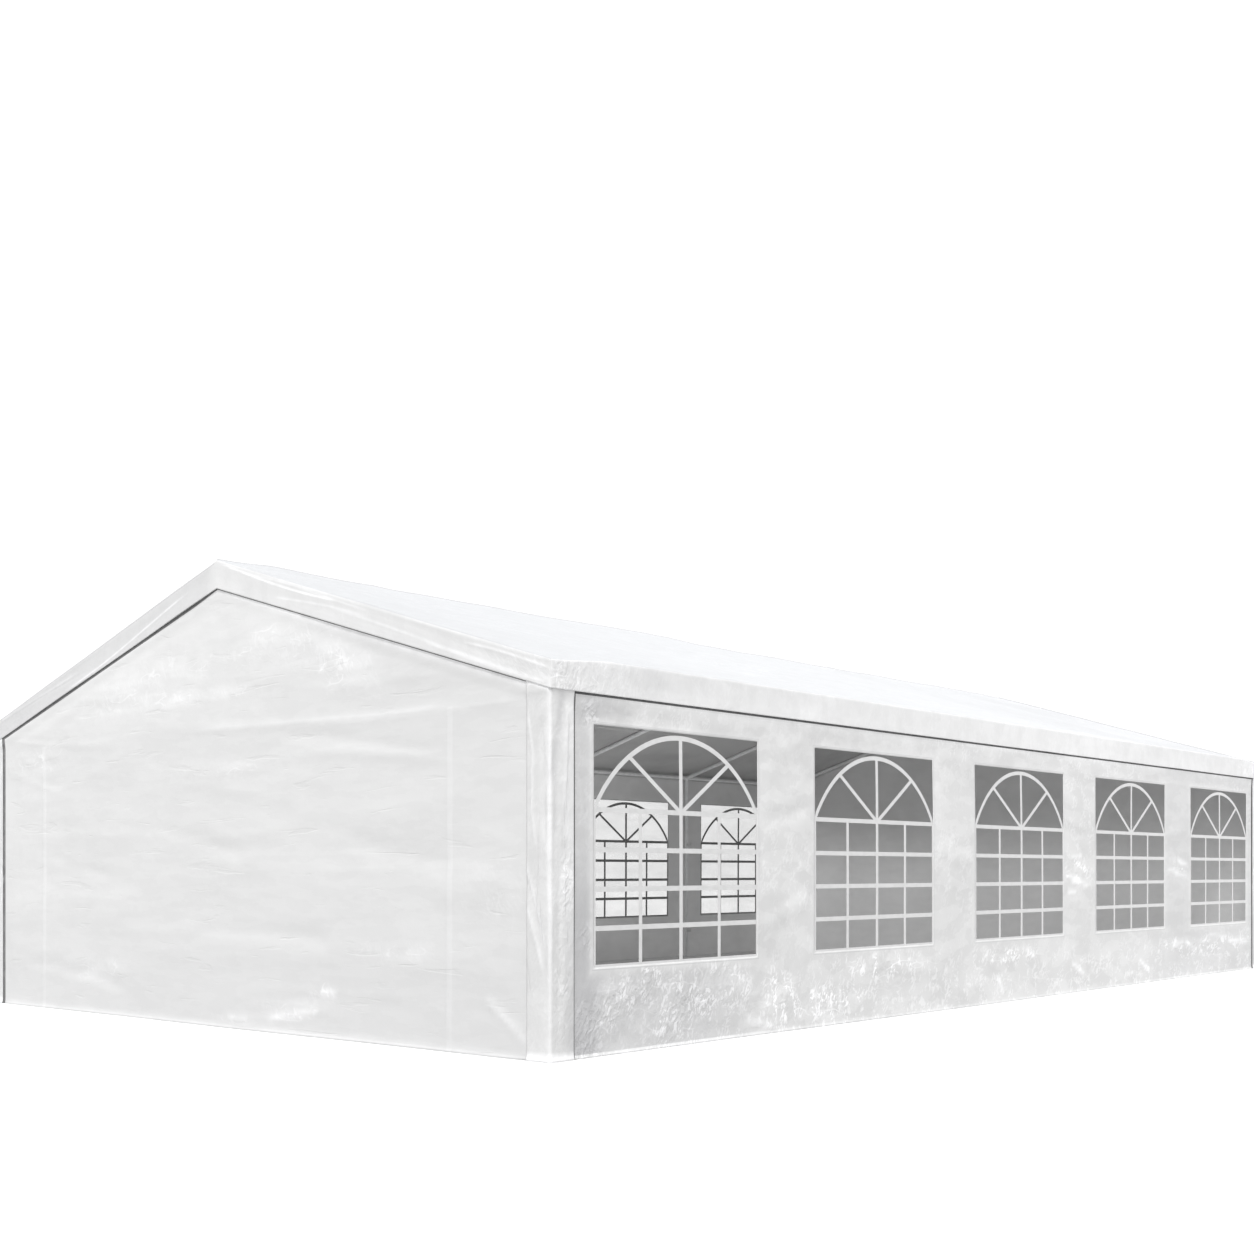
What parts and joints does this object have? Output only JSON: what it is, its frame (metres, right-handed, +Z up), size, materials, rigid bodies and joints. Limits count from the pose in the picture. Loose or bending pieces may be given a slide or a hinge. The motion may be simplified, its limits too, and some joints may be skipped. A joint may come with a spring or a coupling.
{
  "type": "marquee tent",
  "caption": "Long gabled marquee: tube frame under a white woven cover with valances, arched clear windows along both long walls, plain closed gable walls and corner covers.",
  "frame": {"origin": "on the ground under the middle of the tent", "axes": "+X along the ridge, +Y across towards the back long wall, +Z up; the front long wall faces -Y"},
  "size_m": [10.0802, 5.5802, 2.839],
  "materials": {
    "roof_sheet": "coated woven sheet, slightly glossy",
    "wall_sheet": "coated woven sheet, slightly glossy, creased",
    "window_film": "clear flexible film",
    "frame_tube": "zinc-coated steel tube"
  },
  "bodies": {
    "root": {"roof_cover": "roof_sheet", "gable_wall_left": "wall_sheet", "gable_wall_right": "wall_sheet", "window_wall_front": "wall_sheet", "window_wall_back": "wall_sheet", "corner_cover_front_left": "wall_sheet", "corner_cover_front_right": "wall_sheet", "corner_cover_back_left": "wall_sheet", "corner_cover_back_right": "wall_sheet", "window_film_front_1": "window_film", "window_film_front_2": "window_film", "window_film_front_3": "window_film", "window_film_front_4": "window_film", "window_film_front_5": "window_film", "window_film_back_1": "window_film", "window_film_back_2": "window_film", "window_film_back_3": "window_film", "window_film_back_4": "window_film", "window_film_back_5": "window_film", "ridge_rail": "frame_tube", "eave_rail_front": "frame_tube", "eave_rail_back": "frame_tube", "post_front_1": "frame_tube", "post_front_2": "frame_tube", "post_front_3": "frame_tube", "post_front_4": "frame_tube", "post_front_5": "frame_tube", "post_front_6": "frame_tube", "post_back_1": "frame_tube", "post_back_2": "frame_tube", "post_back_3": "frame_tube", "post_back_4": "frame_tube", "post_back_5": "frame_tube", "post_back_6": "frame_tube", "rafter_front_1": "frame_tube", "rafter_front_2": "frame_tube", "rafter_front_3": "frame_tube", "rafter_front_4": "frame_tube", "rafter_front_5": "frame_tube", "rafter_front_6": "frame_tube", "rafter_back_1": "frame_tube", "rafter_back_2": "frame_tube", "rafter_back_3": "frame_tube", "rafter_back_4": "frame_tube", "rafter_back_5": "frame_tube", "rafter_back_6": "frame_tube"}
  },
  "joints": []
}
